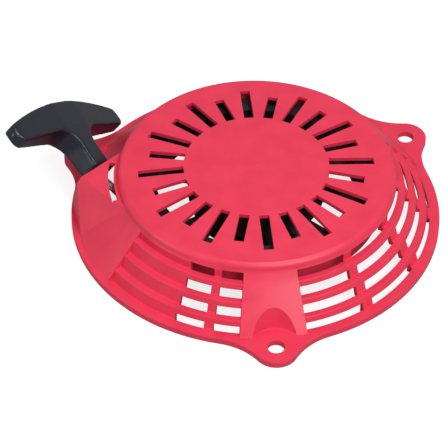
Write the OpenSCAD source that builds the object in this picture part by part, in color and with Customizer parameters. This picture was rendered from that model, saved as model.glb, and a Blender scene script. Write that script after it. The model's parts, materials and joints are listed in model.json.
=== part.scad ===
// Recoil starter of a small petrol engine: a moulded fan cover with a spring-loaded rope pulley,
// two drive pawls and a T-grip. The origin is the centre of the three mounting holes on the
// mounting plane, +Z points away from the engine, along the pulley's axis.

/* [Case] */
// Height of the case from the mounting plane to the middle of the crown
case_h = 33.5; // [33:0.1:34]
// Thickness of the flange that meets the engine
flange_t = 3.3; // [3:0.1:3.6]
// Outer radius of the flange
rim_r = 91.5; // [91:0.1:92]
// Wall thickness of the moulding
wall = 2.2; // [2:0.1:2.4]
// How far the crown has fallen at the reference radius below
crown_drop = 2.3; // [1.8:0.1:2.4]
// Reference radius of the crown's fall
crown_r = 60; // [58:1:62]
// Radius of the cone where it leaves the shoulder
cone_top_r = 69; // [68.8:0.1:69.2]
// Height of that edge
cone_top_z = 26.5; // [26.4:0.1:26.6]
// Radius of the cone where it meets the flange
cone_foot_r = 89; // [88.8:0.1:89.2]

/* [Grille] */
// Height of the highest tread of the stepped grille
tread_top = 22.2; // [22:0.1:22.4]
// Height of one step
tread_step = 6.6; // [6.5:0.1:6.7]
// How far a riser leans out per millimetre that it drops
riser_draft = 0.303; // [0.25:0.01:0.33]
// Height of a ring between two rows of windows
ring_h = 2.8; // [2.6:0.1:3]
// Width of such a ring at its top
ring_w = 3; // [2.8:0.1:3.2]
// Inner radius of the slots in the crown
slot_in = 35.7; // [35:0.1:36.5]
// Outer radius of the short slots
slot_short = 53.3; // [52:0.1:54]
// Outer radius of the long slots
slot_long = 58.1; // [57:0.1:58.5]
// Width of a slot
slot_w = 4.9; // [4.6:0.1:5]
// Number of slots, long and short in turn
slot_count = 24; // [24]

/* [Mounting ears] */
// Radius of the circle through the mounting holes
bolt_circle_r = 95; // [95]
// Radius of a mounting hole
bolt_hole_r = 4.2; // [4:0.1:4.5]
// Outer radius of an ear round its hole
ear_r = 10.6; // [10.3:0.1:10.8]
// Radius of the hollow blend between an ear and the rim
ear_blend_r = 32; // [28:1:36]
// Radius of the flat round a hole, at the flange
spot_r = 12.4; // [12.2:0.1:12.6]

/* [Rope tower] */
// Height of the tower's flat top
tower_h = 27; // [26.8:0.1:27]
// Heading of the seat face, seen from above, counter-clockwise from +X
seat_heading = 129; // [127:1:131]
// Angle by which the seat face leans back
seat_lean = 22; // [20:1:23]
// Heading of the pull
pull_heading = 124; // [123:1:125]
// Rise of the pull above the mounting plane
pull_rise = 24; // [23:1:25]
// Turn of the T-grip about the pull axis
grip_roll = -57.8; // [-59:0.1:-57]

/* [Pulley and rope] */
// Rope diameter
rope_d = 3.8; // [3.6:0.1:3.8]
// Radius of the drum that the rope lies on
drum_r = 51.2; // [51:0.1:51.3]
// Outer radius of the pulley's flanges
pulley_r = 58.8; // [58:0.1:59]
// Radius of the post that the pulley turns on
post_r = 7.5; // [7.5]
// Radial clearance of the pulley and the guide on the post
post_gap = 0.06; // [0.02:0.01:0.1]
// Inner radius of the spring chamber
chamber_r = 31; // [30.5:0.1:31.2]

/* [Pawls] */
// Distance of a pawl's pin from the pulley's axis
pin_orbit = 21; // [20.8:0.1:21.2]
// Radius of a pawl's pin
pin_r = 2.5; // [2.5]
// Radial clearance of a pawl on its pin
pin_gap = 0.05; // [0.03:0.01:0.08]

/* [Grip] */
// Tip-to-tip length of the T-grip's bar
grip_l = 91; // [89:1:92]
// Thickness of the bar across the T, at the stem
grip_t = 13.5; // [13:0.1:14]
// Thickness of the bar at its tips
grip_tip_t = 7.4; // [7:0.1:8]
// Height of the bar's underside above the seat
grip_under = 23.4; // [23:0.1:24]
// Height of the bar's crown above the seat
grip_crown = 40.3; // [40:0.1:40.6]

/* [Hidden] */
$fn = 180;
fit_gap = 0.3;
over = 1;
eps = 0.01;
big = 300;

// Colours of the materials
red = [0.92, 0.27, 0.38];
black_plastic = [0.13, 0.13, 0.15];
grey_plastic = [0.24, 0.25, 0.3];
steel = [0.72, 0.73, 0.75];
spring_steel = [0.45, 0.47, 0.52];
brass = [0.8, 0.65, 0.3];
rope_white = [0.93, 0.9, 0.88];

// The case's outline, worked out from the driving dimensions
cone_slope = (cone_foot_r - cone_top_r) / (cone_top_z - flange_t);
wall_across = wall * sqrt(1 + cone_slope * cone_slope);
riser_across = wall * sqrt(1 + riser_draft * riser_draft);
shoulder_r = 3.3;
shoulder_c = [cone_top_r - 3.8, cone_top_z + 1.1];
crown_steps = 10;
window_top = cone_top_z - 0.1;
flange_in_r = cone_foot_r - wall_across;
tread_z = [for (k = [0:2]) tread_top - k * tread_step];
floor_z = concat([for (k = [1:2]) tread_z[k]], [flange_t]);
stair_foot_r = cone_r(tread_z[2]) + (tread_z[2] - flange_t) * riser_draft - riser_across;

// Angular limits of the stepped stretches, of the open cells in them, and of the hollows behind
// the plain, conical stretches at the ears and the tower
stair_zones = [[-149.5, -100.7], [-79.8, 16.8], [40.2, 136.8]];
open_cells = [[-122.5, -112.5], [-109.5, -101], [-79.5, -59], [-55, -34], [-29, -9], [-4, 16.5],
    [40.5, 61], [65.7, 86.2], [90.9, 111.4], [116, 136.5]];
plain_hollows = [[-99.3, -81.2], [18.2, 38.8], [138.2, 209.1]];
out_r = rim_r + 3;
land = 0.15;
flange_relief = 0.05;
comb_lift = 0.3;
ridge_run = 0.02;
cell_in_r = 60;
ear_angles = [-90, 30, 150];
spot_flare = 0.265;
spot_h = 14;
cup_depth = 9;
hair = 0.03;

pip_r = 1.7;
pip_h = 0.2;

// Inner ring wall round the pulley, and the ribs above it
ring_wall_r = [60.2, 62.2];
ring_wall_foot = 11.5;
rope_gap_angles = [183, 201];
rope_gap_top = 24;
rib_count = 12;
rib_t = 2;
rib_foot = 26.8;
rib_l = 4.8;

// Tower: the place where the grip's axis meets its seat, and the other two leaning faces, each
// with a point, a heading and a lean
seat = [-77.4, 15.2, 20.6];
front_point = [-66.1, -19.4];
front_heading = 218.4;
front_lean = 28;
side_point = [-87.6, 6.4];
side_heading = 186;
side_lean = 5;
arc_slot_r = [70, 72.8];
arc_slot_angles = [168.5, 190.5];
eyelet_r = 4.2;
eyelet_flange_r = 6.2;
eyelet_flange_t = 1.2;
eyelet_bore_r = 2.7;

// Heights along the pulley's axis, from the engine side up
screw_head_z = 2.2;
screw_head_h = 3;
screw_head_r = 5.6;
screw_r = 2.9;
screw_top = 17.5;
socket_r = 2.6;
washer_t = 0.8;
washer_r = 11;
post_foot = screw_head_z + screw_head_h + washer_t;
insert_r = 4.4;
insert_top = 19;
guide_z = 6.2;
guide_t = 2.6;
guide_r = 31;
boss_r = [12.2, 13.8];
boss_foot = 3.6;
hub_foot = 9.1;
hub_r = 11.5;
pawl_z = 9.8;
pawl_t = 3.2;
peg_r = 1.5;
peg_foot = 6.8;
floor_foot = 15;
chamber_floor = 17.5;
post_step = 18.6;
post_head_r = 11.5;
chamber_wall = 2;
chamber_top = 27.6;
groove_z = [12.6, 24.2];
cheek_t = 1.5;
drum_wall = 1.7;
window_land = 0.6;

// Spokes of the pulley's web: direction and width in degrees; the widest holds the knot
spokes = [[27, 18], [92, 16], [158, 14], [219, 20], [293, 42], [351, 18]];
knot_angle = 293;
knot_orbit = 45.4;
knot_r = 3.3;
knot_z = 21;

// Spring: a strip wound in a spiral
strip_t = 0.7;
strip_h = 8.2;
strip_z = 18.9;
strip_turns = 8;
strip_r = [12.1, 29.9];
strip_steps = 20;

// Pawl: places in its own frame, with the pulley's axis at the origin and the pin on +X, and the
// directions of the two pins, seen from above
pin_angles = [60, 240];
tip = [23.6, -15.2];
tip_r = 2;
heel_r = 5;
peg = [22.5, -9];
guide_turn = 25;
coil_wire_r = 0.25;
coil_r = 3.3;
coil_pitch = 0.55;
coil_lift = 0.4;
coil_turns = 2;

// Rope: the tangent point on the wound rope, from which it runs straight to the eyelet
wound_r = drum_r + rope_d * 1.5 + fit_gap;
seat_reach = norm([seat.x, seat.y]);
rope_heading = atan2(seat.y, seat.x) - asin(wound_r / seat_reach);
rope_z = 18.4;
tangent = [wound_r * cos(rope_heading + 90), wound_r * sin(rope_heading + 90), rope_z];
pull = [cos(pull_rise) * cos(pull_heading), cos(pull_rise) * sin(pull_heading), sin(pull_rise)];
seat_normal = [cos(seat_lean) * cos(seat_heading), cos(seat_lean) * sin(seat_heading),
    sin(seat_lean)];
rope_end = 27.9;
bend = 6;

// Grip: half widths of the stem, the throat between stem and bar, the bar's tips and its crown
stem_w = 6;
stem_foot_t = 10.4;
throat_r = 9;
grip_end = [grip_l / 2, 28.4];
crown_fall = 7.2;
crown_parts = 8;
tip_chamfer = 1.8;
knot_pocket_r = 5.2;
pocket_floor = 3.6;
foot_gap = 0.6;

function crown_z(r) = case_h - crown_drop * pow(r / crown_r, 2);
function cone_r(z) = cone_top_r + (cone_top_z - z) * cone_slope;
function riser_r(k, z) = cone_r(tread_z[k]) + (tread_z[k] - z) * riser_draft;

// Crown and shoulder, from the axis outwards, lowered and drawn in by d
function crown_points(d) = [for (k = [0:crown_steps])
    let (r = k * (shoulder_c.x - 1) / crown_steps) [r, crown_z(r) - d]];
function shoulder_points(d) = [for (a = [75:-15:0])
    [shoulder_c.x + (shoulder_r - d) * cos(a), shoulder_c.y + (shoulder_r - d) * sin(a)]];

// The whole moulding's section in radius and height: cone outside, stair inside
function stair_inside() = concat(
    [[cone_top_r - wall, cone_top_z], [cone_top_r - wall, tread_z[0] - wall]],
    [for (k = [0:2]) let (top = tread_z[k] - wall, foot = k < 2 ? floor_z[k] - wall : flange_t)
        each [[riser_r(k, top) - riser_across, top], [riser_r(k, foot) - riser_across, foot]]]);
function case_section() = concat(crown_points(0), shoulder_points(0),
    [[cone_top_r, cone_top_z], [cone_foot_r, flange_t], [rim_r, flange_t], [rim_r, 0],
    [stair_foot_r, 0]],
    reversed(concat(crown_points(wall), shoulder_points(wall), stair_inside())));

// What is cut from the outside of the cone between one ridge and the tread below it: its riser
// runs on a little past the ridge, and the lowest tread lies a touch below the flange's top
function step_section(k) =
    let (top = k == 0 ? cone_top_z - land : tread_z[k - 1] - land,
        foot = k < 3 ? tread_z[k] : flange_t - flange_relief,
        foot_r = k == 0 ? cone_top_r + 0.1 : riser_r(k - 1, foot),
        ridge = [cone_r(top), top], heel = [foot_r, foot],
        start = ridge + (ridge - heel) * ridge_run)
    [start, heel, [out_r, foot], [out_r, start.y]];

// What is cut from the inside behind a plain stretch
function hollow_section() = [[cell_in_r, cone_top_z], [cone_top_r - wall_across, cone_top_z],
    [flange_in_r, flange_t], [flange_in_r, -over], [cell_in_r, -over]];

// What is cut from an open cell: all but the rings, as a comb. A ring's top and the flange's are
// left a little high here, because the steps are cut down to them afterwards
function comb_section() = concat([[cell_in_r, window_top], [out_r, window_top]],
    [for (k = [0:2]) let (z = tread_z[k], top = z + comb_lift, r = cone_r(z) - ring_w)
        each [[out_r, top], [r, top], [r, z - ring_h], [out_r, z - ring_h]]],
    [[out_r, flange_t + comb_lift], [flange_in_r + comb_lift, flange_t + comb_lift],
    [flange_in_r + comb_lift, -over], [cell_in_r, -over]]);

// The cone filled to the axis, its surface in the middle of the wall
function cone_core() = [[0, cone_top_z + 1], [cone_top_r - wall_across / 2, cone_top_z + 1],
    [cone_top_r - wall_across / 2, cone_top_z], [cone_foot_r - wall_across / 2, flange_t],
    [cone_foot_r - wall_across / 2, -over], [0, -over]];
function reversed(v) = [for (k = [len(v) - 1:-1:0]) v[k]];

module sector(a) {
    rotate([0, 0, a[0]]) rotate_extrude(angle = a[1] - a[0]) children();
}

module tube(r_in, r_out, z0, z1) {
    translate([0, 0, z0]) difference() {
        cylinder(r = r_out, h = z1 - z0);
        translate([0, 0, -over]) cylinder(r = r_in, h = z1 - z0 + 2 * over);
    }
}

// Everything behind a plane through p that faces heading, leant back by lean
module behind(p, heading, lean) {
    translate(p) rotate([0, -lean, heading]) translate([-big, -big / 2, -big / 2]) cube(big);
}

// ---- Case ----

// An ear and its two hollow blends into the rim, as a flat shape with the ear on +X
module ear_outline() {
    reach = rim_r + ear_blend_r;
    arm = ear_r + ear_blend_r;
    swing = acos((reach * reach + bolt_circle_r * bolt_circle_r - arm * arm)
        / (2 * reach * bolt_circle_r));
    centre = [reach * cos(swing), reach * sin(swing)];
    difference() {
        polygon([[rim_r - 4, 0], centre * 0.72, centre, [bolt_circle_r, 0],
            [centre.x, -centre.y], [centre.x, -centre.y] * 0.72]);
        for (side = [-1, 1]) translate([centre.x, side * centre.y]) circle(r = ear_blend_r);
    }
    translate([bolt_circle_r, 0]) circle(r = ear_r);
}

module ears() {
    for (a = ear_angles) rotate([0, 0, a]) linear_extrude(flange_t) ear_outline();
}

// Hollow that clears a wrench round a mounting hole
module spot() {
    translate([bolt_circle_r, 0, flange_t])
        cylinder(r1 = spot_r, r2 = spot_r + spot_h * spot_flare, h = spot_h);
}

// Wall and floor of that hollow inside the cone, a hair larger than the hollow itself
module spot_cup() {
    top_r = spot_r + spot_h * spot_flare;
    top = flange_t + spot_h;
    intersection() {
        translate([bolt_circle_r, 0, 0]) rotate_extrude() polygon([[0, flange_t - 2],
            [spot_r + wall, flange_t - 2], [top_r + wall, top], [top_r - hair, top],
            [spot_r - hair, flange_t - hair], [0, flange_t - hair]]);
        translate([0, -20, 0]) cube([bolt_circle_r - cup_depth, 40, top]);
        rotate_extrude() polygon(cone_core());
    }
}

// The tower's block, drawn in by d on every side
module tower_block(d) {
    intersection() {
        translate([-100, -40, d > 0 ? -1 : 0]) cube([40, 90, tower_h - d + (d > 0 ? 1 : 0)]);
        behind(seat - d * seat_normal, seat_heading, seat_lean);
        behind([front_point.x, front_point.y, tower_h] - d * [cos(front_heading),
            sin(front_heading), 0] / cos(front_lean), front_heading, front_lean);
        behind([side_point.x + d, side_point.y, tower_h], side_heading, side_lean);
        translate([0, 0, -2]) cylinder(r = d > 0 ? flange_in_r - 0.15 : rim_r, h = big);
    }
}

// The tower's walls and roof, as far as they stand outside the cone
module tower_skin() {
    difference() {
        tower_block(0);
        sector([140, 220]) polygon(cone_core());
    }
}

module shell() {
    difference() {
        difference() {
            difference() {
                rotate_extrude() polygon(case_section());
                for (a = open_cells) sector(a) polygon(comb_section());
            }
            for (a = plain_hollows) sector(a) polygon(hollow_section());
        }
        for (a = stair_zones) for (k = [0:3]) sector(a) polygon(step_section(k));
    }
    ears();
}

module crown_slots() {
    for (k = [0:slot_count - 1]) {
        slot_out = k % 2 == 0 ? slot_long : slot_short;
        rotate([0, 0, 90 + k * 360 / slot_count])
            translate([slot_in, -slot_w / 2, cone_top_z]) cube([slot_out - slot_in, slot_w, 10]);
    }
}

module ring_wall() {
    difference() {
        tube(ring_wall_r[0], ring_wall_r[1], ring_wall_foot, crown_z(ring_wall_r[1]) - wall / 2);
        sector(rope_gap_angles)
            translate([ring_wall_r[0] - 2, ring_wall_foot - 1])
            square([6, rope_gap_top - ring_wall_foot + 1]);
    }
    for (k = [0:rib_count - 1]) rotate([0, 0, 15 + k * 360 / rib_count])
        translate([ring_wall_r[1] - 0.5, -rib_t / 2, rib_foot]) cube([rib_l, rib_t, 3]);
}

module post() {
    difference() {
        union() {
            translate([0, 0, post_foot]) cylinder(r = post_r, h = post_step - post_foot + eps);
            translate([0, 0, post_step])
                cylinder(r = post_head_r, h = crown_z(post_head_r) - wall / 2 - post_step);
        }
        translate([0, 0, post_foot - 1]) cylinder(r = insert_r, h = insert_top - post_foot + 1);
        translate([0, 0, post_foot]) cylinder(r = screw_r + 0.3, h = 15);
        translate([post_head_r - 3, -0.8, post_step - 1]) cube([4, 1.6, strip_h + 2]);
    }
}

module starter_case() {
    color(red) difference() {
        union() {
            difference() {
                union() {
                    shell();
                    tower_skin();
                }
                tower_block(wall);
                for (a = ear_angles) rotate([0, 0, a]) spot();
            }
            ring_wall();
            post();
            for (a = ear_angles) rotate([0, 0, a]) spot_cup();
            translate([0, 0, case_h - 2 * pip_h]) cylinder(r = pip_r, h = 3 * pip_h);
        }
        crown_slots();
        for (a = ear_angles) rotate([0, 0, a]) translate([bolt_circle_r, 0, -1])
            cylinder(r = bolt_hole_r, h = flange_t + 2);
        sector(arc_slot_angles) translate([arc_slot_r[0], tower_h - wall - 1])
            square([arc_slot_r[1] - arc_slot_r[0], wall + 2]);
        at_seat() translate([0, 0, -6]) cylinder(r = eyelet_r, h = 12);
        at_seat() translate([0, 0, -eyelet_flange_t]) cylinder(r = eyelet_flange_r, h = 12);
    }
}

// Frame of the seat: origin on the seat face, +Z out of it
module at_seat() {
    translate(seat) rotate([0, 90 - seat_lean, seat_heading]) children();
}

module post_insert() {
    color(brass) tube(screw_r + 0.05, insert_r, post_foot + 0.4, insert_top - 0.5);
}

module rope_eyelet() {
    color(steel) at_seat() difference() {
        union() {
            translate([0, 0, -wall - 1.4]) cylinder(r = eyelet_r, h = wall + 1.4);
            translate([0, 0, -eyelet_flange_t])
                cylinder(r = eyelet_flange_r, h = eyelet_flange_t - 0.1);
        }
        translate([0, 0, -6]) cylinder(r = eyelet_bore_r, h = 8);
    }
}

// ---- Pulley and what rides on it ----

module spoke_windows() {
    count = len(spokes);
    for (k = [0:count - 1]) {
        next = (k + 1) % count;
        a0 = spokes[k][0] + spokes[k][1] / 2;
        a1 = spokes[next][0] - spokes[next][1] / 2 + (next == 0 ? 360 : 0);
        sector([a0, a1]) translate([chamber_r + chamber_wall + window_land, floor_foot - 1])
            square([drum_r - drum_wall - chamber_r - chamber_wall - 2 * window_land, 5]);
    }
}

// The pulley's section in radius and height: hub, web, chamber wall, drum and its two cheeks
function pulley_section() =
    let (bore_r = post_r + post_gap, drum_in = drum_r - drum_wall,
        low = groove_z[0] - cheek_t, high = groove_z[1] + cheek_t,
        chamber_out = chamber_r + chamber_wall)
    [[bore_r, hub_foot], [hub_r, hub_foot], [hub_r, floor_foot], [drum_in, floor_foot],
    [drum_in, low], [pulley_r, low], [pulley_r, groove_z[0]], [drum_r, groove_z[0]],
    [drum_r, groove_z[1]], [pulley_r, groove_z[1]], [pulley_r, high], [drum_in, high],
    [drum_in, chamber_floor], [chamber_out, chamber_floor], [chamber_out, chamber_top],
    [chamber_r, chamber_top], [chamber_r, chamber_floor], [bore_r, chamber_floor]];

module rope_pulley() {
    color(black_plastic) difference() {
        union() {
            rotate_extrude() polygon(pulley_section());
            for (s = spokes) rotate([0, 0, s[0]])
                translate([chamber_r + 1, -1, chamber_floor - 0.5])
                cube([drum_r - chamber_r - 2, 2, s[0] == knot_angle ? 0.6 : 5]);
        }
        spoke_windows();
        for (a = pin_angles) rotate([0, 0, a]) translate([pin_orbit, 0, floor_foot - 1])
            cylinder(r = pin_r, h = chamber_floor - floor_foot);
        rotate([0, 0, knot_angle]) translate([drum_r - 5, 0, knot_z]) rotate([0, 90, 0])
            cylinder(r = rope_d / 2 + 0.3, h = 8);
        translate([chamber_r - 1, -1, chamber_floor + 1]) cube([4, 2, 12]);
    }
}

module rope_wound() {
    color(rope_white) rotate_extrude() polygon([
        [drum_r + 0.05, groove_z[0] + 0.1], [drum_r + 1.85 * rope_d, groove_z[0] + 0.1],
        [drum_r + 1.85 * rope_d, rope_z - rope_d / 2 - fit_gap],
        [drum_r + rope_d, rope_z - rope_d / 2 - fit_gap],
        [drum_r + rope_d, groove_z[1] - 0.1], [drum_r + 0.05, groove_z[1] - 0.1]]);
}

module pulley_knot() {
    color(rope_white) rotate([0, 0, knot_angle]) translate([knot_orbit, 0, knot_z]) {
        sphere(r = knot_r);
        rotate([0, 90, 0]) cylinder(r = rope_d / 2, h = drum_r - knot_orbit);
    }
}

// Spiral of the spring: inner face outwards, then back along the outer face
function spiral(side) = [for (k = [0:strip_turns * strip_steps])
    let (a = k * 360 / strip_steps,
        r = strip_r[0] + (strip_r[1] - strip_r[0]) * k / (strip_turns * strip_steps) + side)
    [r * cos(a), r * sin(a)]];

module recoil_spring() {
    color(spring_steel) translate([0, 0, strip_z]) {
        linear_extrude(strip_h) polygon(concat(spiral(0), reversed(spiral(strip_t))));
        translate([post_head_r - 2.2, -strip_t / 2, 0]) cube([3.2, strip_t, strip_h]);
        translate([strip_r[1], 0, 0]) cube([chamber_r + 1.6 - strip_r[1], strip_t, strip_h]);
    }
}

module rope_lead() {
    start = tangent;
    inside = seat - 5 * seat_normal;
    points = concat(
        [for (k = [0:5]) start + (inside - start) * k / 6],
        [for (k = [0:4]) let (t = k / 4)
            (1 - t) * (1 - t) * inside + 2 * t * (1 - t) * (seat - 0.5 * seat_normal)
            + t * t * (seat + bend * pull)],
        [for (k = [1:4]) seat + (bend + (rope_end - bend) * k / 4) * pull]);
    color(rope_white) tube_along(points, rope_d / 2, 8);
}

// Round tube along points: a ring square to the path at each point, joined by triangles
module tube_along(points, r, sides) {
    n = len(points);
    function way(k) = let (v = points[min(k + 1, n - 1)] - points[max(k - 1, 0)]) v / norm(v);
    function across(k) = let (v = cross([0, 0, 1], way(k))) v / norm(v);
    rings = [for (k = [0:n - 1]) for (j = [0:sides - 1]) let (a = j * 360 / sides)
        points[k] + r * (cos(a) * across(k) + sin(a) * cross(way(k), across(k)))];
    skin = [for (k = [0:n - 2]) for (j = [0:sides - 1]) let (i = (j + 1) % sides)
        each [[k * sides + j, k * sides + i, (k + 1) * sides + i],
            [k * sides + j, (k + 1) * sides + i, (k + 1) * sides + j]]];
    caps = [[for (j = [sides - 1:-1:0]) j], [for (j = [0:sides - 1]) (n - 1) * sides + j]];
    polyhedron(points = rings, faces = [for (f = concat(skin, caps)) reversed(f)]);
}

// ---- Pawls and their guide ----

module pawl_pin(a) {
    color(steel) rotate([0, 0, a]) translate([pin_orbit, 0, pawl_z - 0.4])
        cylinder(r = pin_r, h = chamber_floor - 1 - pawl_z + 0.4);
}

module pawl(a) {
    color(steel) rotate([0, 0, a]) difference() {
        union() {
            translate([0, 0, pawl_z]) linear_extrude(pawl_t) hull() {
                translate([pin_orbit, 0]) circle(r = heel_r, $fn = 32);
                translate(tip) circle(r = tip_r, $fn = 32);
            }
            translate([peg.x, peg.y, peg_foot]) cylinder(r = peg_r, h = pawl_z - peg_foot + 1);
        }
        translate([pin_orbit, 0, 0]) cylinder(r = pin_r + pin_gap, h = 30);
        translate([tip.x + 4, tip.y - 3.6, 0]) cylinder(r = 3.4, h = 30);
    }
}

function coil_points() = [for (k = [0:coil_turns * 12]) let (a = k * 30)
    [coil_r * cos(a), coil_r * sin(a), pawl_z + pawl_t + coil_lift + coil_pitch * k / 12]];

module pawl_spring(a) {
    leg = [coil_r, 0, pawl_z + pawl_t + coil_lift];
    points = concat([leg + [0, -6, 0], leg + [0, -3, 0]], coil_points());
    color(spring_steel) rotate([0, 0, a]) translate([pin_orbit, 0, 0])
        tube_along(points, coil_wire_r, 6);
}

module cam_slot() {
    far = norm(peg) + 3;
    far_angle = atan2(peg.y, peg.x) + 5.8 - guide_turn;
    translate([0, 0, guide_z - 1]) linear_extrude(guide_t + 2) hull() {
        translate(peg) circle(r = 2.4, $fn = 32);
        translate([far * cos(far_angle), far * sin(far_angle)]) circle(r = 2.4, $fn = 32);
    }
}

module ratchet_guide() {
    color(black_plastic) difference() {
        union() {
            tube(post_r + post_gap, guide_r, guide_z, guide_z + guide_t);
            tube(boss_r[0], boss_r[1], boss_foot, guide_z + 1);
            tube(guide_r - 2, guide_r, guide_z - 1.2, guide_z + 1);
        }
        for (a = pin_angles) rotate([0, 0, a]) cam_slot();
        for (a = pin_angles) rotate([0, 0, a + 90]) translate([guide_r + 3, 0, 0])
            cylinder(r = 8, h = 20);
    }
}

module friction_spring() {
    ring_r = boss_r[1] + 0.65;
    color(spring_steel) translate([0, 0, boss_foot + 1.3]) {
        sector([20, 340]) translate([ring_r, 0]) circle(r = 0.6);
        for (side = [-1, 1]) rotate([0, 0, side * 20])
            translate([ring_r, 0, 0]) rotate([0, 90, 0]) cylinder(r = 0.6, h = 5);
    }
}

module centre_washer() {
    color(steel) tube(screw_r + 0.2, washer_r, screw_head_z + screw_head_h, post_foot);
}

module centre_screw() {
    color(steel) difference() {
        union() {
            translate([0, 0, screw_head_z]) cylinder(r = screw_head_r, h = screw_head_h);
            translate([0, 0, screw_head_z]) cylinder(r = screw_r, h = screw_top - screw_head_z);
        }
        translate([0, 0, screw_head_z - 1]) cylinder(r = socket_r, h = 3, $fn = 6);
    }
}

// ---- Grip ----

// Frame of the grip: origin on the seat, +Z along the pull, +X along the bar
module at_grip() {
    translate(seat) rotate([0, 90 - pull_rise, pull_heading]) rotate([0, 0, grip_roll]) children();
}

// Half of the T's outline, from the foot of the stem round to the crown
function half_grip() = concat(
    [[stem_w, -3], [stem_w, grip_under - throat_r]],
    [for (a = [165:-15:90]) [stem_w + throat_r + throat_r * cos(a),
        grip_under - throat_r + throat_r * sin(a)]],
    [[grip_end.x - 3.4, grip_under - 0.6], [grip_end.x, grip_end.y - 1.5],
    [grip_end.x, grip_end.y + 0.5]],
    [for (k = [crown_parts:-1:1]) let (x = (grip_end.x - 2) * k / crown_parts)
        [x, grip_crown - crown_fall * pow(k / crown_parts, 2)]]);

// The bar seen along the pull: it narrows from the stem to its chamfered tips
function bar_plan() = [for (c = [[1, 1], [-1, 1], [-1, -1], [1, -1]])
    let (full = [stem_w + 3, grip_t / 2], tip = [grip_end.x - tip_chamfer, grip_tip_t / 2],
        cut = [grip_end.x, grip_tip_t / 2 - tip_chamfer],
        corner = [for (p = [cut, tip, full]) [p.x * c.x, p.y * c.y]])
    each (c.x * c.y > 0 ? corner : reversed(corner))];

// The stem seen along the bar: it narrows to its foot
function stem_side() = [[-9, stem_foot_t / 2], [-9, -stem_foot_t / 2],
    [grip_under, -grip_t / 2], [big, -grip_t / 2], [big, grip_t / 2], [grip_under, grip_t / 2]];

module grip() {
    half = half_grip();
    color(grey_plastic) difference() {
        at_grip() intersection() {
            rotate([90, 0, 0]) linear_extrude(2 * grip_t, center = true)
                polygon(concat(half, [[0, grip_crown]],
                    reversed([for (p = half) [-p.x, p.y]])));
            translate([0, 0, -9]) linear_extrude(2 * grip_crown) polygon(bar_plan());
            rotate([0, -90, 0]) linear_extrude(2 * grip_l, center = true) polygon(stem_side());
        }
        behind(seat + foot_gap * seat_normal, seat_heading, seat_lean);
        at_grip() translate([0, 0, -9]) cylinder(r = rope_d / 2 + 0.7, h = 45);
        at_grip() translate([0, 0, grip_under + pocket_floor])
            cylinder(r = knot_pocket_r, h = 20);
    }
}

module grip_washer() {
    color(steel) at_grip() tube(rope_d / 2 + 0.3, knot_pocket_r - 0.2,
        grip_under + pocket_floor + 0.1, grip_under + pocket_floor + 1.1);
}

module grip_knot() {
    color(rope_white) at_grip() translate([0, 0, grip_under + 9]) sphere(r = 4.2);
}

starter_case();
post_insert();
rope_eyelet();
recoil_spring();
rope_pulley();
rope_wound();
pulley_knot();
rope_lead();
pawl_pin(pin_angles[0]);  // pawl_pin_a
pawl_pin(pin_angles[1]);  // pawl_pin_b
pawl(pin_angles[0]);  // pawl_a
pawl(pin_angles[1]);  // pawl_b
pawl_spring(pin_angles[0]);  // pawl_spring_a
pawl_spring(pin_angles[1]);  // pawl_spring_b
ratchet_guide();
friction_spring();
centre_washer();
centre_screw();
grip();
grip_washer();
grip_knot();
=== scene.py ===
"""Looks of a recoil starter: red slotted fan cover, rope pulley, pawls and T-grip.

Every length is in metres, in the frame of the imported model, with +Z along the pulley's axis.
Named lengths of the rope's turns and of the springs are in millimetres where a comment says so.
"""

import json
import math

import bmesh
import bpy
import numpy as np
from mathutils import Matrix, Vector

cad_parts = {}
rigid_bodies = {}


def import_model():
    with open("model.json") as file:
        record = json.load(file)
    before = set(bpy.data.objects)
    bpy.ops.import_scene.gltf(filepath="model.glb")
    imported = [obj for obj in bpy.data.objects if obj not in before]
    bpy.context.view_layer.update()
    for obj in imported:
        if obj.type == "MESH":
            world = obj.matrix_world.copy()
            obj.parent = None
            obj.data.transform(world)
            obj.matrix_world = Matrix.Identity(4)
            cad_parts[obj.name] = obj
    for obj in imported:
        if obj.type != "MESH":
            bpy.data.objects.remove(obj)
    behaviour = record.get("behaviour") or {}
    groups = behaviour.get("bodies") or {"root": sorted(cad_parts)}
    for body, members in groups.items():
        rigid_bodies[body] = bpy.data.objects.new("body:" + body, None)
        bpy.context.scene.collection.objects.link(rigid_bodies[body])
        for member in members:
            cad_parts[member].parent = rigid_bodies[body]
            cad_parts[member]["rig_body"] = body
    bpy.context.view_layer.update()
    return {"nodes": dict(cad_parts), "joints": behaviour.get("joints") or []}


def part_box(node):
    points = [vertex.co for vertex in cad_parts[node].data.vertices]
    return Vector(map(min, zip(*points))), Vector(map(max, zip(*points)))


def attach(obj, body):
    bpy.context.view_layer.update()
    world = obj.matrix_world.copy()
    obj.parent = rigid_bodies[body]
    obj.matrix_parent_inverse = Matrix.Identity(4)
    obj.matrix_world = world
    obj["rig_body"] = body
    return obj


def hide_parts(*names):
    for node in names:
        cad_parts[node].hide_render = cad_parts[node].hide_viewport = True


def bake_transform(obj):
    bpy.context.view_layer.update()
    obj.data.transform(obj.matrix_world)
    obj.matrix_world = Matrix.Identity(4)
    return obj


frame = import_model()
nodes = frame["nodes"]
joints = {joint["name"]: joint for joint in frame["joints"]}
MM = 0.001

# ---------------------------------------------------------------- places from the frame

# The seat is where the rope leaves the eyelet; its normal points out of the tower.
SEAT = np.array([-77.4, 15.2, 20.6]) * MM
PULL = np.array(joints["grip_pull"]["axis"], float)
PULL /= np.linalg.norm(PULL)
PULL_LENGTH = joints["grip_pull"]["range_m"][1]
SEAT_HEADING = math.radians(129)
SEAT_LEAN = math.radians(22)
SEAT_NORMAL = np.array([
    math.cos(SEAT_LEAN) * math.cos(SEAT_HEADING),
    math.cos(SEAT_LEAN) * math.sin(SEAT_HEADING),
    math.sin(SEAT_LEAN)])

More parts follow.
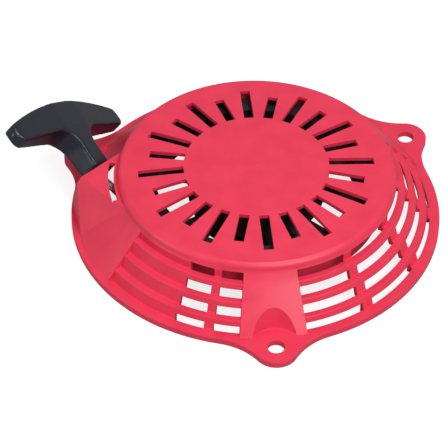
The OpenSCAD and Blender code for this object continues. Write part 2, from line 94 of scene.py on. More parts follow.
ROPE_R = 1.9 * MM
ROPE_Z = 18.4 * MM
WOUND_R = 57.2 * MM


# ---------------------------------------------------------------- mesh helpers

MERGE_GAP = 2e-6
CAP_GAP = 1e-6
TUBE_SIDE = (0, 0, 1)
CAP_STEPS = ((0.85, 0.35), (0.45, 0.6), (0.02, 0.68))
CAP_LENGTHS = np.array([0.7, 0.6, 0.35])


def new_object(name, mesh):
    """An object at the origin that shows the mesh."""
    thing = bpy.data.objects.new(name, mesh)
    bpy.context.scene.collection.objects.link(thing)
    return thing


def grid_mesh(name, points, wrap_v=False, uv=None):
    """A mesh from a grid of points, points[i, j] in rows i along u and columns j along v.

    Each cell of four neighbours becomes one face; wrap_v joins the last column to the first. uv,
    where given, then has one more column than points."""
    rows, cols = points.shape[:2]
    ii, jj = np.meshgrid(np.arange(rows - 1), np.arange(cols if wrap_v else cols - 1),
                         indexing="ij")
    i2, j2 = ii + 1, (jj + 1) % cols
    quads = np.stack([ii * cols + jj, i2 * cols + jj, i2 * cols + j2, ii * cols + j2], -1)
    mesh = bpy.data.meshes.new(name)
    mesh.from_pydata(points.reshape(-1, 3).tolist(), [], quads.reshape(-1, 4).tolist())
    if uv is not None:
        layer = mesh.uv_layers.new(name="along")
        corners = np.stack([uv[ii, jj], uv[ii + 1, jj], uv[ii + 1, jj + 1], uv[ii, jj + 1]], 2)
        layer.data.foreach_set("uv", corners.reshape(-1).astype(np.float32))
    mesh.shade_smooth()
    return mesh


def directions(path):
    """Unit tangents of a path of points, from each point's neighbours."""
    way = np.gradient(path, axis=0)
    return way / np.linalg.norm(way, axis=1, keepdims=True)


def frames_along(path):
    """Two unit vectors square to the path at each point, carried along it with no twist: the side
    of one point less its part along the next point's tangent, made a unit vector again."""
    way = directions(path)
    side = np.empty_like(path)
    carried = np.array(TUBE_SIDE, float)
    for k, t in enumerate(way):
        carried = carried - t * (carried @ t)
        carried /= np.linalg.norm(carried)
        side[k] = carried
    return side, np.cross(way, side)


def tube(name, path, radius, sides=16, lengths=None):
    """A round tube: at each point of the path a circle square to it, capped with a rounded end.

    UV holds u, the turn round the tube from 0 to 1, and v, the length along it in metres; lengths
    replaces the path's own running length. Each step of an end's cap is a share of the ring's size
    and a height in radii."""
    run = np.r_[0, np.cumsum(np.linalg.norm(np.diff(path, axis=0), axis=1))]
    v = run if lengths is None else lengths
    side, up = frames_along(path)
    u = np.arange(sides) / sides
    ring = np.cos(2 * np.pi * u)[None, :, None] * side[:, None] \
        + np.sin(2 * np.pi * u)[None, :, None] * up[:, None]
    points = path[:, None] + ring * radius
    way = directions(path)
    ends = []
    for k, sign in ((0, -1), (-1, 1)):
        for share, lift in CAP_STEPS:
            ends.append(path[k] + ring[k] * radius * share + sign * way[k] * radius * lift)
    points = np.concatenate([np.stack(ends[2::-1]), points, np.stack(ends[3:])])
    v = np.r_[v[0] - radius * CAP_LENGTHS, v, v[-1] + radius * CAP_LENGTHS[::-1]]
    uu, vv = np.meshgrid(np.arange(sides + 1) / sides, v)
    return grid_mesh(name, points[:, ::-1], wrap_v=True, uv=np.stack([uu, vv], -1)[:, ::-1])


def strip(name, inner, outer, low, high, bevel):
    """A flat strip on edge: at each step of its path eight corners between its inner and outer
    faces and between its low and high edges, with its four corners cut by the bevel."""
    out = (outer - inner) / np.linalg.norm(outer - inner, axis=1, keepdims=True)
    up = np.array([0, 0, 1.0])
    rail = [inner + up * (low + bevel), inner + up * (high - bevel),
            inner + out * bevel + up * high, outer - out * bevel + up * high,
            outer + up * (high - bevel), outer + up * (low + bevel),
            outer - out * bevel + up * low, inner + out * bevel + up * low]
    points = np.stack(rail, 1)
    cap = points.mean(1, keepdims=True)
    ends = [np.repeat(end, len(rail), 1) for end in (cap[:1], cap[-1:])]
    points = np.concatenate([ends[0], points, ends[1]])
    return grid_mesh(name, points, wrap_v=True)


def merged(mesh):
    """Joins a mesh's points that lie together and forgets the normals that it came with."""
    for label in ("custom_normal", "sharp_edge", "sharp_face"):
        layer = mesh.attributes.get(label)
        if layer is not None:
            mesh.attributes.remove(layer)
    work = bmesh.new()
    work.from_mesh(mesh)
    bmesh.ops.remove_doubles(work, verts=work.verts, dist=MERGE_GAP)
    bmesh.ops.dissolve_degenerate(work, edges=work.edges, dist=MERGE_GAP)
    work.to_mesh(mesh)
    work.free()
    return mesh


def with_material(mesh, finish):
    """The mesh, with that material alone."""
    mesh.materials.clear()
    mesh.materials.append(finish)
    return mesh


def finished_copy(cad_node, finish, edge, sharp=30, name=None):
    """Stands for a CAD node: its copy merged, its edges of more than sharp degrees rounded by a
    bevel of width edge."""
    mesh = with_material(merged(nodes[cad_node].data.copy()), finish)
    mesh.shade_smooth()
    mesh.set_sharp_from_angle(angle=math.radians(sharp))
    piece = new_object(name or cad_node + "_finish", mesh)
    if edge > 0:
        bevel = piece.modifiers.new("edge", "BEVEL")
        bevel.width = edge
        bevel.segments = 2
        bevel.limit_method = "ANGLE"
        bevel.angle_limit = math.radians(sharp)
        bevel.harden_normals = False
        bevel.use_clamp_overlap = True
        bevel.miter_outer = "MITER_ARC"
    stand_in(piece, cad_node)


def stand_in(piece, cad_node):
    """The piece takes the place of the CAD node, on its body; the CAD node is hidden."""
    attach(piece, nodes[cad_node]["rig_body"])
    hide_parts(cad_node)


def recalculated(mesh):
    """Turns all faces of a closed mesh outwards."""
    work = bmesh.new()
    work.from_mesh(mesh)
    bmesh.ops.remove_doubles(work, verts=work.verts, dist=CAP_GAP)
    bmesh.ops.recalc_face_normals(work, faces=work.faces)
    work.to_mesh(mesh)
    work.free()
    return mesh


# ---------------------------------------------------------------- shader groups

def group(name, inputs, outputs):
    """A shader node group with named sockets: (name, kind, default) for inputs."""
    tree = bpy.data.node_groups.new(name, "ShaderNodeTree")
    for label, kind, value in inputs:
        socket = tree.interface.new_socket(label, in_out="INPUT", socket_type="NodeSocket" + kind)
        if value is not None:
            socket.default_value = value
    for label, kind in outputs:
        tree.interface.new_socket(label, in_out="OUTPUT", socket_type="NodeSocket" + kind)
    return tree, tree.nodes.new("NodeGroupInput"), tree.nodes.new("NodeGroupOutput")


def node(tree, kind, links=None, **values):
    """A node of that kind; values set its properties or its sockets, links feed its sockets."""
    made = tree.nodes.new("ShaderNode" + kind)
    for key, value in values.items():
        if hasattr(made, key):
            setattr(made, key, value)
        else:
            made.inputs[key.replace("_", " ")].default_value = value
    for key, source in (links or {}).items():
        tree.links.new(source, made.inputs[key])
    return made


def math_node(tree, operation, a, b=None, clamp=False):
    """One Math node; a and b are sockets or numbers."""
    made = node(tree, "Math", operation=operation, use_clamp=clamp)
    for index, value in enumerate((a, b)):
        if value is None:
            continue
        if isinstance(value, (int, float)):
            made.inputs[index].default_value = value
        else:
            tree.links.new(value, made.inputs[index])
    return made.outputs[0]


def range_node(tree, value, low, high, to_low=0.0, to_high=1.0):
    """Maps a value from one range to another, clamped."""
    made = node(tree, "MapRange", {"Value": value})
    for label, number in (("From Min", low), ("From Max", high), ("To Min", to_low),
                          ("To Max", to_high)):
        made.inputs[label].default_value = number
    return made.outputs["Result"]


def mix_node(tree, factor, a, b, blend="MIX"):
    """Mixes two colours; factor, a and b are sockets or values."""
    made = tree.nodes.new("ShaderNodeMix")
    made.data_type = "RGBA"
    made.blend_type = blend
    for socket, value in ((made.inputs[0], factor), (made.inputs[6], a), (made.inputs[7], b)):
        if isinstance(value, (int, float, tuple)):
            socket.default_value = value
        else:
            tree.links.new(value, socket)
    return made.outputs[2]


def moulded_grain():
    """Group: the spark-eroded texture of a mould. Height is fine noise with a slower waviness,
    Tone is a slow cloudiness for the colour, and Speckle is fine dots."""
    tree, inside, out = group(
        "moulded grain",
        [("Place", "Vector", None), ("Grain per metre", "Float", 2600.0),
         ("Wave per metre", "Float", 90.0)],
        [("Height", "Float"), ("Tone", "Float"), ("Speckle", "Float")])
    fine = node(tree, "TexNoise", {"Vector": inside.outputs["Place"],
                                   "Scale": inside.outputs["Grain per metre"]},
                Detail=2.0, Roughness=0.6)
    wave = node(tree, "TexNoise", {"Vector": inside.outputs["Place"],
                                   "Scale": inside.outputs["Wave per metre"]},
                Detail=3.0, Roughness=0.5)
    slow = math_node(tree, "MULTIPLY", wave.outputs["Fac"], 0.8)
    tree.links.new(math_node(tree, "ADD", fine.outputs["Fac"], slow), out.inputs["Height"])
    tree.links.new(range_node(tree, wave.outputs["Fac"], 0.3, 0.7), out.inputs["Tone"])
    tree.links.new(range_node(tree, fine.outputs["Fac"], 0.55, 0.75), out.inputs["Speckle"])
    return tree


def edge_wear():
    """Group: where edges are rubbed. Wear is the share by which a wide-rounded normal leaves the
    true one, broken up by noise."""
    tree, inside, out = group(
        "edge wear",
        [("Place", "Vector", None), ("Reach", "Float", 0.0006), ("Amount", "Float", 0.5)],
        [("Wear", "Float")])
    rounded = node(tree, "Bevel", {"Radius": inside.outputs["Reach"]}, samples=4)
    true = node(tree, "NewGeometry")
    dot = node(tree, "VectorMath", operation="DOT_PRODUCT")
    tree.links.new(rounded.outputs["Normal"], dot.inputs[0])
    tree.links.new(true.outputs["Normal"], dot.inputs[1])
    bend = math_node(tree, "SUBTRACT", 1.0, dot.outputs["Value"])
    noise = node(tree, "TexNoise", {"Vector": inside.outputs["Place"]}, Scale=420.0, Detail=3.0)
    broken = range_node(tree, noise.outputs["Fac"], 0.35, 0.65)
    wear = math_node(tree, "MULTIPLY", range_node(tree, bend, 0.02, 0.25), broken)
    tree.links.new(math_node(tree, "MULTIPLY", wear, inside.outputs["Amount"], clamp=True),
                   out.inputs["Wear"])
    return tree


def brushed_marks():
    """Group: fine marks of turning or rolling. Height and Tone come from noise stretched across
    the piece, with Stretch giving the scale on each axis."""
    tree, inside, out = group(
        "brushed marks",
        [("Place", "Vector", None), ("Stretch", "Vector", None)],
        [("Height", "Float"), ("Tone", "Float")])
    scaled = node(tree, "VectorMath", operation="MULTIPLY")
    tree.links.new(inside.outputs["Place"], scaled.inputs[0])
    tree.links.new(inside.outputs["Stretch"], scaled.inputs[1])
    marks = node(tree, "TexNoise", {"Vector": scaled.outputs["Vector"]},
                 Scale=1.0, Detail=4.0, Roughness=0.65)
    cloud = node(tree, "TexNoise", {"Vector": inside.outputs["Place"]}, Scale=120.0, Detail=2.0)
    tree.links.new(marks.outputs["Fac"], out.inputs["Height"])
    both = math_node(tree, "MULTIPLY", marks.outputs["Fac"], cloud.outputs["Fac"])
    tree.links.new(range_node(tree, both, 0.12, 0.42), out.inputs["Tone"])
    return tree


GRAIN = moulded_grain()
WEAR = edge_wear()
MARKS = brushed_marks()


def material(name):
    """A new material's tree, its Principled shader and its Object coordinates."""
    made = bpy.data.materials.new(name)
    made.use_nodes = True
    tree = made.node_tree
    shader = tree.nodes["Principled BSDF"]
    place = tree.nodes.new("ShaderNodeTexCoord").outputs["Object"]
    return made, tree, shader, place


def use_group(tree, which, links=None, **values):
    """Places a group in a material, with its own values."""
    made = tree.nodes.new("ShaderNodeGroup")
    made.node_tree = which
    for key, value in values.items():
        made.inputs[key.replace("_", " ")].default_value = value
    for key, source in (links or {}).items():
        tree.links.new(source, made.inputs[key])
    return made


def bump(tree, shader, height, distance, strength=1.0, rounded=0.0):
    """Feeds the shader's normal from a height, over edges rounded by that radius."""
    made = node(tree, "Bump", {"Height": height})
    made.inputs["Distance"].default_value = distance
    made.inputs["Strength"].default_value = strength
    if rounded > 0:
        soft = node(tree, "Bevel", samples=4)
        soft.inputs["Radius"].default_value = rounded
        tree.links.new(soft.outputs["Normal"], made.inputs["Normal"])
    tree.links.new(made.outputs["Normal"], shader.inputs["Normal"])


def moulded_plastic(name, colour, deep, worn, rough, grain, depth, rounded, wear, coat=0.0,
                    scatter=None):
    """Moulded plastic: two shades of its colour in slow clouds, a fine bumpy grain, edges a little
    paler where they are rubbed, and roughness that follows the grain."""
    made, tree, shader, place = material(name)
    texture = use_group(tree, GRAIN, {"Place": place}, Grain_per_metre=grain)
    rubbed = use_group(tree, WEAR, {"Place": place}, Amount=wear)
    base = mix_node(tree, texture.outputs["Tone"], deep, colour)
    speckled = mix_node(tree, math_node(tree, "MULTIPLY", texture.outputs["Speckle"], 0.10),
                        base, worn)
    finished = mix_node(tree, rubbed.outputs["Wear"], speckled, worn)
    tree.links.new(finished, shader.inputs["Base Color"])
    roughness = range_node(tree, texture.outputs["Tone"], 0, 1, rough - 0.04, rough + 0.05)
    tree.links.new(math_node(tree, "ADD", roughness,
                             math_node(tree, "MULTIPLY", rubbed.outputs["Wear"], 0.08)),
                   shader.inputs["Roughness"])
    shader.inputs["Specular IOR Level"].default_value = 0.5
    shader.inputs["Coat Weight"].default_value = coat
    shader.inputs["Coat Roughness"].default_value = 0.35
    if scatter is not None:
        shader.inputs["Subsurface Weight"].default_value = scatter
        shader.inputs["Subsurface Radius"].default_value = (1.0, 0.25, 0.2)
        shader.inputs["Subsurface Scale"].default_value = 0.0015
    bump(tree, shader, texture.outputs["Height"], depth, 0.6, rounded)
    return made


METAL_WEAR = 0.5
METAL_WEAR_REACH = 0.0003
METAL_ROUNDING = 0.00012
MARK_DEPTH = 4e-6


def machined_metal(name, colour, deep, rough, stretch):
    """Metal with fine marks along one direction, darker where grease and dirt stay."""
    made, tree, shader, place = material(name)
    marks = use_group(tree, MARKS, {"Place": place}, Stretch=stretch)
    rubbed = use_group(tree, WEAR, {"Place": place}, Amount=METAL_WEAR,
                       Reach=METAL_WEAR_REACH)
    base = mix_node(tree, marks.outputs["Tone"], deep, colour)
    pale = tuple(min(1.0, c * 1.25) for c in colour[:3]) + (1.0,)
    tree.links.new(mix_node(tree, rubbed.outputs["Wear"], base, pale), shader.inputs["Base Color"])
    shader.inputs["Metallic"].default_value = 1.0
    tree.links.new(range_node(tree, marks.outputs["Tone"], 0, 1, rough + 0.14, rough - 0.03),
                   shader.inputs["Roughness"])
    bump(tree, shader, marks.outputs["Height"], MARK_DEPTH, 0.5, METAL_ROUNDING)
    return made


STRANDS = 8.0
BRAID_PITCH = 10.5 * MM
BRAID_DEPTH = 0.35 * MM
PINK_FROM = 0.80
DARK_FROM = 0.945


def braided_rope(name):
    """Braided cord: two families of strands wind round it in opposite ways, one rising over the
    other where the product of their waves says so. UV u is the turn round it, v its length."""
    made, tree, shader, _ = material(name)
    uv = tree.nodes.new("ShaderNodeUVMap")
    uv.uv_map = "along"
    split = node(tree, "SeparateXYZ", {"Vector": uv.outputs["UV"]})
    u, v = split.outputs["X"], split.outputs["Y"]
    phase_u = math_node(tree, "MULTIPLY", u, STRANDS)
    phase_v = math_node(tree, "DIVIDE", v, BRAID_PITCH / STRANDS * 2)
    plus = math_node(tree, "ADD", phase_u, phase_v)
    minus = math_node(tree, "SUBTRACT", phase_u, phase_v)
    one = math_node(tree, "SINE", math_node(tree, "MULTIPLY", plus, math.pi))
    two = math_node(tree, "SINE", math_node(tree, "MULTIPLY", minus, math.pi))
    one = math_node(tree, "ABSOLUTE", one)
    two = math_node(tree, "ABSOLUTE", two)
    over = math_node(tree, "SINE", math_node(tree, "MULTIPLY", phase_v, math.tau))
    choose = math_node(tree, "GREATER_THAN", over, 0.0)
    strand = node(tree, "Mix", data_type="FLOAT")
    tree.links.new(choose, strand.inputs[0])
    tree.links.new(one, strand.inputs[2])
    tree.links.new(two, strand.inputs[3])
    height = strand.outputs[0]
    fibre_place = node(tree, "CombineXYZ", {
        "X": math_node(tree, "MULTIPLY", plus, 9.0), "Y": math_node(tree, "MULTIPLY", minus, 1.2)})
    fibre = node(tree, "TexNoise", {"Vector": fibre_place.outputs["Vector"]}, Scale=3.0, Detail=3.0)
    fleck_place = node(tree, "CombineXYZ", {
        "X": math_node(tree, "FLOOR", plus), "Y": math_node(tree, "FLOOR", minus)})
    fleck = node(tree, "TexWhiteNoise", {"Vector": fleck_place.outputs["Vector"]})
    pink = math_node(tree, "GREATER_THAN", fleck.outputs["Value"], PINK_FROM)
    dark = math_node(tree, "GREATER_THAN", fleck.outputs["Value"], DARK_FROM)
    white = mix_node(tree, fibre.outputs["Fac"], (0.62, 0.58, 0.55, 1), (0.95, 0.93, 0.90, 1))
    pinked = mix_node(tree, math_node(tree, "MULTIPLY", pink, 0.75), white, (0.72, 0.16, 0.22, 1))
    flecked = mix_node(tree, math_node(tree, "MULTIPLY", dark, 0.85), pinked, (0.10, 0.03, 0.05, 1))
    # Painted shade: the base colour is darkened down to 0.35 where the strands' height is low, in
    # the grooves between them.
    painted_groove_shade = range_node(tree, height, 0.0, 0.45, 0.35, 1.0)
    shade = tree.nodes.new("ShaderNodeCombineColor")
    for channel in range(3):
        tree.links.new(painted_groove_shade, shade.inputs[channel])
    tree.links.new(mix_node(tree, 1.0, flecked, shade.outputs["Color"], "MULTIPLY"),
                   shader.inputs["Base Color"])
    shader.inputs["Roughness"].default_value = 0.72
    shader.inputs["Sheen Weight"].default_value = 0.25
    relief = math_node(tree, "ADD", height,
                       math_node(tree, "MULTIPLY", fibre.outputs["Fac"], 0.25))
    bump(tree, shader, relief, BRAID_DEPTH, 0.8)
    return made


RED = moulded_plastic("red_nylon", (0.82, 0.035, 0.088, 1), (0.75, 0.026, 0.074, 1),
                      (0.90, 0.13, 0.19, 1), 0.44, 2600.0, 1.2e-5, 0.00035, 0.30, 0.06, 0.10)
GREY = moulded_plastic("grip_plastic", (0.012, 0.0135, 0.026, 1), (0.008, 0.009, 0.019, 1),
                       (0.050, 0.052, 0.075, 1), 0.30, 1900.0, 2.2e-5, 0.0, 0.3)
BLACK = moulded_plastic("pulley_nylon", (0.022, 0.022, 0.024, 1), (0.014, 0.014, 0.016, 1),
                        (0.07, 0.07, 0.075, 1), 0.5, 2200.0, 2.0e-5, 0.0, 0.4)
STEEL = machined_metal("plated_steel", (0.66, 0.66, 0.68, 1), (0.42, 0.42, 0.44, 1), 0.28,
                       (300.0, 300.0, 6000.0))
SPRING = machined_metal("spring_steel", (0.30, 0.33, 0.40, 1), (0.13, 0.13, 0.15, 1), 0.24,
                        (250.0, 250.0, 9000.0))
BRASS = machined_metal("turned_brass", (0.86, 0.62, 0.27, 1), (0.55, 0.36, 0.14, 1), 0.26,
                       (250.0, 250.0, 8000.0))
ROPE = braided_rope("braided_rope")


# ---------------------------------------------------------------- case and turned parts

def case():
    """The red cover, its curved walls shaded smooth up to its real edges."""
    finished_copy("starter_case", RED, 0.0, sharp=20, name="case_shell")


def hard_parts():
    """The moulded and turned inner parts, with their edges rounded as a mould or a lathe leaves
    them: (node, material, width of the rounding in millimetres)."""
    for part, finish, edge in (
            ("rope_pulley", BLACK, 0.25), ("ratchet_guide", BLACK, 0.25), ("pawl_a", STEEL, 0.2),
            ("pawl_b", STEEL, 0.2), ("pawl_pin_a", STEEL, 0.3), ("pawl_pin_b", STEEL, 0.3),
            ("centre_washer", STEEL, 0.12), ("centre_screw", STEEL, 0.25),
            ("post_insert", BRASS, 0.1), ("rope_eyelet", STEEL, 0.2),
            ("grip_washer", STEEL, 0.1)):
        finished_copy(part, finish, edge * MM)


# ---------------------------------------------------------------- grip

CELL = 0.55 * MM
GRIP_SMOOTHING = 34


def baked(thing, name):
    """The object's mesh with its modifiers applied, as a new object, the old one removed."""
    graph = bpy.context.evaluated_depsgraph_get()
    mesh = bpy.data.meshes.new_from_object(thing.evaluated_get(graph))
    mesh.name = name
    bpy.data.objects.remove(thing)
    return new_object(name, mesh)


def grip():
    """The T-grip: its solid rebuilt in small even cells, and its edges and corners worn round by
    moving each point towards the middle of its neighbours."""
    thing = new_object("grip_cells", merged(nodes["grip"].data.copy()))
    cells = thing.modifiers.new("cells", "REMESH")
    cells.mode = "VOXEL"
    cells.voxel_size = CELL
    worn = thing.modifiers.new("worn", "SMOOTH")
    worn.factor = 0.5
    worn.iterations = GRIP_SMOOTHING
    piece = baked(thing, "grip_body")
    with_material(piece.data, GREY).shade_smooth()
    stand_in(piece, "grip")


# ---------------------------------------------------------------- rope

# The lead: the steps of its three parts, its places as distances from the seat.
STRAIGHT_STEPS = 60
BEND_STEPS = 24
PULL_STEPS = 260
BEND_IN = 5 * MM
BEND_MIDDLE = 0.5 * MM
BEND_OUT = 6 * MM
LEAD_END = 27.6 * MM
BLEND_START = 6.2 * MM
BLEND_END = 26.5 * MM

# The wound rope: radii and heights in millimetres, angles in degrees.
LEAD_HEIGHT = 18.4
LAY_R = 56.6
DRUM_R = 53.15
ROPE_STEP = 3.8
LAST_STEP = 3.75
TURN_DEGREES = 1480
TURN_STEP = 3.0

# The knots: the trefoil's depth, a direction that lies across both knots, and the pulley's knot.
KNOT_DEPTH = 1.35
KNOT_ASIDE = (0.3, 0.2, 0.93)
PULLEY_KNOT_ANGLE = math.radians(293)
PULLEY_KNOT_R = 45.4 * MM
PULLEY_KNOT_Z = 21.0 * MM


def leave_angle():
    """Where the rope leaves the wound turns: a tangent from there meets the seat."""
    reach = math.hypot(SEAT[0], SEAT[1])
    return math.atan2(SEAT[1], SEAT[0]) - math.asin(WOUND_R / reach) + math.pi / 2


def rope_lead():
    """The rope from the wound turns to the knot in the grip: straight to the eyelet, through it on
    a short quadratic bend, then along the pull. It bends between case and grip, so its UV length
    is counted as it is when fully pulled."""
    angle = leave_angle()
    start = np.array([WOUND_R * math.cos(angle), WOUND_R * math.sin(angle), ROPE_Z])
    inside = SEAT - BEND_IN * SEAT_NORMAL
    turn = SEAT - BEND_MIDDLE * SEAT_NORMAL
    out = SEAT + BEND_OUT * PULL
    t = np.linspace(0, 1, STRAIGHT_STEPS, endpoint=False)[:, None]
    straight = start + (inside - start) * t
    t = np.linspace(0, 1, BEND_STEPS, endpoint=False)[:, None]
    bend = (1 - t) ** 2 * inside + 2 * t * (1 - t) * turn + t ** 2 * out
    rise = np.linspace(BEND_OUT, LEAD_END, PULL_STEPS)[:, None]
    path = np.concatenate([straight, bend, SEAT + rise * PULL])
    first, last = SEAT + BLEND_START * PULL, SEAT + BLEND_END * PULL
    share = np.clip((path - first) @ (last - first) / ((last - first) @ (last - first)), 0, 1)
    weight = share ** 2 * (3 - 2 * share)
    run = np.r_[0, np.cumsum(np.linalg.norm(np.diff(path, axis=0), axis=1))]
    mesh = tube("rope_run", path, ROPE_R, lengths=run + PULL_LENGTH * weight, sides=20)
    piece = new_object("rope_run", with_material(mesh, ROPE))
    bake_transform(piece)
    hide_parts("rope_lead")


def ramp(value, low, high):
    """Smooth step from 0 to 1 between low and high."""
    t = np.clip((value - low) / (high - low), 0, 1)
    return t * t * (3 - 2 * t)


def rope_turns():
    """The rope on the drum, from where it leaves back to its knot: part of a turn on top at the
    lead's height, the rest of that layer one rope lower, then three turns on the drum itself."""
    back = np.radians(np.arange(0, TURN_DEGREES, TURN_STEP))
    degrees = np.degrees(back)
    radius = LAY_R - (LAY_R - DRUM_R) * ramp(degrees, 370, 415)
    height = LEAD_HEIGHT - ROPE_STEP * ramp(degrees, 24, 66) \
        + ROPE_STEP * ramp(degrees, 745, 800) + LAST_STEP * ramp(degrees, 1105, 1160)
    angle = leave_angle() + back
    path = np.stack([radius * np.cos(angle), radius * np.sin(angle), height], 1) * MM
    mesh = tube("rope_turns", path, ROPE_R * 0.97, sides=16)
    stand_in(new_object("rope_turns", with_material(mesh, ROPE)), "rope_wound")


def knot(name, centre, axis, reach, rope_r, cad_node):
    """A trefoil: x = sin t + 2 sin 2t, y = cos t - 2 cos 2t, z = - KNOT_DEPTH sin 3t, scaled to
    its reach and stood along the axis."""
    t = np.linspace(0, 2 * np.pi, 120, endpoint=False)
    raw = np.stack([np.sin(t) + 2 * np.sin(2 * t), np.cos(t) - 2 * np.cos(2 * t),
                    -KNOT_DEPTH * np.sin(3 * t)], 1) / 3 * (reach - rope_r)
    axis = np.array(axis, float) / np.linalg.norm(axis)
    side = np.cross(axis, KNOT_ASIDE)
    side /= np.linalg.norm(side)
    path = centre + raw @ np.stack([side, np.cross(axis, side), axis])
    closed = np.concatenate([path, path[:1]])
    mesh = tube(name, closed, rope_r, sides=14)
    stand_in(new_object(name, with_material(mesh, ROPE)), cad_node)


def knots():
    """The knot that holds the rope in the pulley, with its tail through the drum, and the knot
    on its washer in the grip."""
    centre = np.array(sum(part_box("grip_knot"), Vector())) / 2
    knot("grip_knot_tied", centre, PULL, 4.1 * MM, 1.75 * MM, "grip_knot")
    out = np.array([math.cos(PULLEY_KNOT_ANGLE), math.sin(PULLEY_KNOT_ANGLE), 0])
    centre = out * PULLEY_KNOT_R + np.array([0, 0, PULLEY_KNOT_Z])
    knot("pulley_knot_tied", centre, out, 3.2 * MM, 1.35 * MM, "pulley_knot")
    path = centre + out * np.linspace(1.5, 5.6, 12)[:, None] * MM
    tail = new_object("knot_tail", with_material(tube("knot_tail", path, ROPE_R * 0.95), ROPE))
    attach(tail, "pulley")


# ---------------------------------------------------------------- springs

# The recoil spring: radii in millimetres.
COILS = 8
STEPS_PER_COIL = 90
COIL_IN_R = 12.45
COIL_OUT_R = 30.1
HOOK_IN = (9.6, 12.2)
HOOK_OUT = (30.4, 32.4)
STRIP_HALF = 0.33
STRIP_LOW = 18.95 * MM
STRIP_HIGH = 27.05 * MM
STRIP_BEVEL = 0.12 * MM
STRIP_SHARP = 50

# The pawls' springs: the pin's distance from the axis, the coil and the leg, in millimetres.
PIN_R = 21
WIRE_COIL_R = 3.3
WIRE_COIL_Z = 13.4
WIRE_COIL_PITCH = 0.55
WIRE_LEG = (-6, -0.6)
WIRE_R = 0.25 * MM

# The brake spring: the ring and its turned ends in millimetres, the ring's gap in degrees.
BRAKE_R = 14.45
BRAKE_Z = 4.9
BRAKE_ARC = (24, 336)
BRAKE_TIP = (19.3, 15.4)
BRAKE_WIRE_R = 0.58 * MM
BRAKE_END_ANGLE = math.radians(20)

def spiral_spring():
    """The recoil spring: a strip on edge whose middle line is a spiral, radius growing evenly with
    the turn, from a hook in the post's slot to a hook through the chamber's wall."""
    turns = np.linspace(0, COILS, COILS * STEPS_PER_COIL + 1)
    radius = COIL_IN_R + (COIL_OUT_R - COIL_IN_R) * turns / COILS
    angle = 2 * np.pi * turns
    spiral = np.stack([radius * np.cos(angle), radius * np.sin(angle)], 1)
    hook_in = np.stack([np.linspace(*HOOK_IN, 8), np.linspace(0.0, -0.02, 8)], 1)
    hook_out = np.stack([np.linspace(*HOOK_OUT, 6), np.linspace(0.32, 0.35, 6)], 1)
    line = np.concatenate([hook_in, spiral[1:-1], hook_out])
    way = np.gradient(line, axis=0)
    across = np.stack([way[:, 1], -way[:, 0]], 1) / np.linalg.norm(way, axis=1, keepdims=True)
    faces = [np.c_[line + sign * STRIP_HALF * across, np.zeros(len(line))] * MM
             for sign in (-1, 1)]
    mesh = strip("spiral_spring", faces[0], faces[1], STRIP_LOW, STRIP_HIGH, STRIP_BEVEL)
    mesh = recalculated(mesh)
    mesh.shade_smooth()
    mesh.set_sharp_from_angle(angle=math.radians(STRIP_SHARP))
    stand_in(new_object("spiral_spring", with_material(mesh, SPRING)), "recoil_spring")


def pawl_spring(letter, heading):
    """A pawl's return spring: two turns of wire round the pin and one straight leg."""
    turn = np.radians(np.arange(0, 721, 10.0))
    coil = np.stack([WIRE_COIL_R * np.cos(turn), WIRE_COIL_R * np.sin(turn),
                     WIRE_COIL_Z + WIRE_COIL_PITCH * turn / (2 * np.pi)], 1)
    along = np.linspace(*WIRE_LEG, 10)
    leg = np.stack([np.full(len(along), WIRE_COIL_R), along,
                    np.full(len(along), WIRE_COIL_Z)], 1)
    path = np.concatenate([leg, coil]) + (PIN_R, 0, 0)
    c, s = math.cos(math.radians(heading)), math.sin(math.radians(heading))
    path = path @ np.array([[c, s, 0], [-s, c, 0], [0, 0, 1]]) * MM
    mesh = tube("return_spring_" + letter, path, WIRE_R, sides=10)
    thing = new_object("return_spring_" + letter, with_material(mesh, SPRING))
    stand_in(thing, "pawl_spring_" + letter)


def brake_spring():
    """The guide's friction spring: an open ring of wire round the boss, both ends turned out."""
    turn = np.radians(np.linspace(*BRAKE_ARC, 140))
    ring = np.stack([BRAKE_R * np.cos(turn), BRAKE_R * np.sin(turn)], 1)
    out = np.linspace(*BRAKE_TIP, 9)
    first = np.stack([out * math.cos(BRAKE_END_ANGLE), out * math.sin(BRAKE_END_ANGLE)], 1)
    last = first[::-1] * (1, -1)
    flat = np.concatenate([first, ring, last])
    path = np.c_[flat, np.full(len(flat), BRAKE_Z)] * MM
    mesh = tube("brake_spring", path, BRAKE_WIRE_R, sides=12)
    stand_in(new_object("brake_spring", with_material(mesh, SPRING)), "friction_spring")


# ---------------------------------------------------------------- stage

FLOOR_HALF = 4.0
FLOOR_DROP = 0.2 * MM
FLOOR_GLOW = 0.8
WORLD_STRENGTH = 0.40


def floor():
    """A wide pale floor, lit from within for the camera, so that it stays pale in the shade."""
    ends = (-FLOOR_HALF, FLOOR_HALF)
    mesh = grid_mesh("floor", np.array([[(x, y, 0) for y in ends] for x in ends]))
    made, tree, shader, place = material("pale_floor")
    cloud = node(tree, "TexNoise", {"Vector": place}, Scale=3.0, Detail=2.0)
    tree.links.new(mix_node(tree, cloud.outputs["Fac"], (0.34, 0.34, 0.34, 1),
                            (0.37, 0.37, 0.37, 1)), shader.inputs["Base Color"])
    seen = tree.nodes.new("ShaderNodeLightPath").outputs["Is Camera Ray"]
    tree.links.new(mix_node(tree, seen, (0, 0, 0, 1), (1, 1, 1, 1)),
                   shader.inputs["Emission Color"])
    shader.inputs["Emission Strength"].default_value = FLOOR_GLOW
    shader.inputs["Roughness"].default_value = 0.7
    shader.inputs["Specular IOR Level"].default_value = 0.2
    thing = new_object("floor", with_material(mesh, made))
    thing.location.z = -FLOOR_DROP


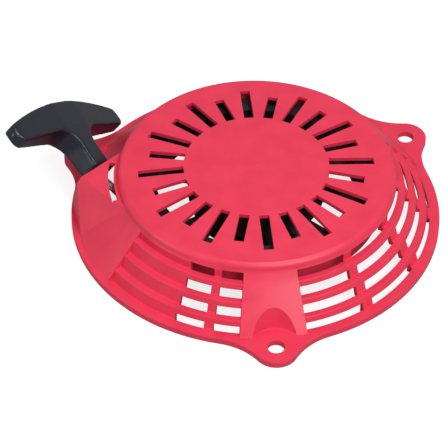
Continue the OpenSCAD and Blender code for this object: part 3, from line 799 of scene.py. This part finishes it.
def soft_light(name, direction, distance, size, power):
    """A square area light that looks at the case from a direction."""
    lamp = bpy.data.lights.new(name, "AREA")
    lamp.energy = power
    lamp.size = size
    thing = bpy.data.objects.new(name, lamp)
    bpy.context.scene.collection.objects.link(thing)
    away = Vector(direction).normalized()
    thing.location = away * distance
    thing.rotation_mode = "QUATERNION"
    thing.rotation_quaternion = (-away).to_track_quat("-Z", "Y")


def studio():
    """White surroundings with three soft lights: the main one before the case, one straight above
    that draws a line along the rounded edges, and a weak one at the grip's side."""
    world = bpy.data.worlds.new("studio")
    world.use_nodes = True
    background = world.node_tree.nodes["Background"]
    background.inputs["Color"].default_value = (1, 1, 1, 1)
    background.inputs["Strength"].default_value = WORLD_STRENGTH
    bpy.context.scene.world = world
    soft_light("key", (0.32, -0.62, 0.72), 1.6, 0.8, 14.0)
    soft_light("top", (0.14, -0.10, 1.0), 1.5, 0.32, 5.5)
    soft_light("left", (-1.0, -0.25, 0.45), 1.6, 0.35, 4.0)
    bpy.context.scene.view_settings.view_transform = "Standard"
    bpy.context.scene.view_settings.look = "None"


CAMERA_AZIMUTH = math.radians(-5.79)
CAMERA_ELEVATION = math.radians(43.41)
CAMERA_ROLL = math.radians(0.61)
CAMERA_DISTANCE = 1.22312
CAMERA_AIM = (0.01589, 0.02930)
CROWN_TOP = 0.0335
SENSOR = 36.0
LENS = 200.9
CLIP_NEAR = 0.05
CLIP_FAR = 20


def camera():
    """A long lens at its azimuth and elevation round the crown's middle, rolled a little and moved
    in its own plane so that the grip stays in the frame."""
    a, e = CAMERA_AZIMUTH, CAMERA_ELEVATION
    back = Vector((math.sin(a) * math.cos(e), -math.cos(a) * math.cos(e), math.sin(e)))
    side = Vector((0, 0, 1)).cross(back).normalized()
    up = back.cross(side)
    right = side * math.cos(CAMERA_ROLL) + up * math.sin(CAMERA_ROLL)
    above = up * math.cos(CAMERA_ROLL) - side * math.sin(CAMERA_ROLL)
    made = bpy.data.cameras.new("camera")
    made.lens = LENS
    made.sensor_width = SENSOR
    made.clip_start, made.clip_end = CLIP_NEAR, CLIP_FAR
    thing = bpy.data.objects.new("camera", made)
    bpy.context.scene.collection.objects.link(thing)
    spot = Vector((0, 0, CROWN_TOP)) - right * CAMERA_AIM[0] - above * CAMERA_AIM[1] \
        + back * CAMERA_DISTANCE
    turn = Matrix((right, above, back)).transposed().to_4x4()
    turn.translation = spot
    thing.matrix_world = turn
    bpy.context.scene.camera = thing


camera()
studio()
floor()
case()
hard_parts()
grip()
rope_turns()
rope_lead()
knots()
spiral_spring()
pawl_spring("a", 60)
pawl_spring("b", 240)
brake_spring()
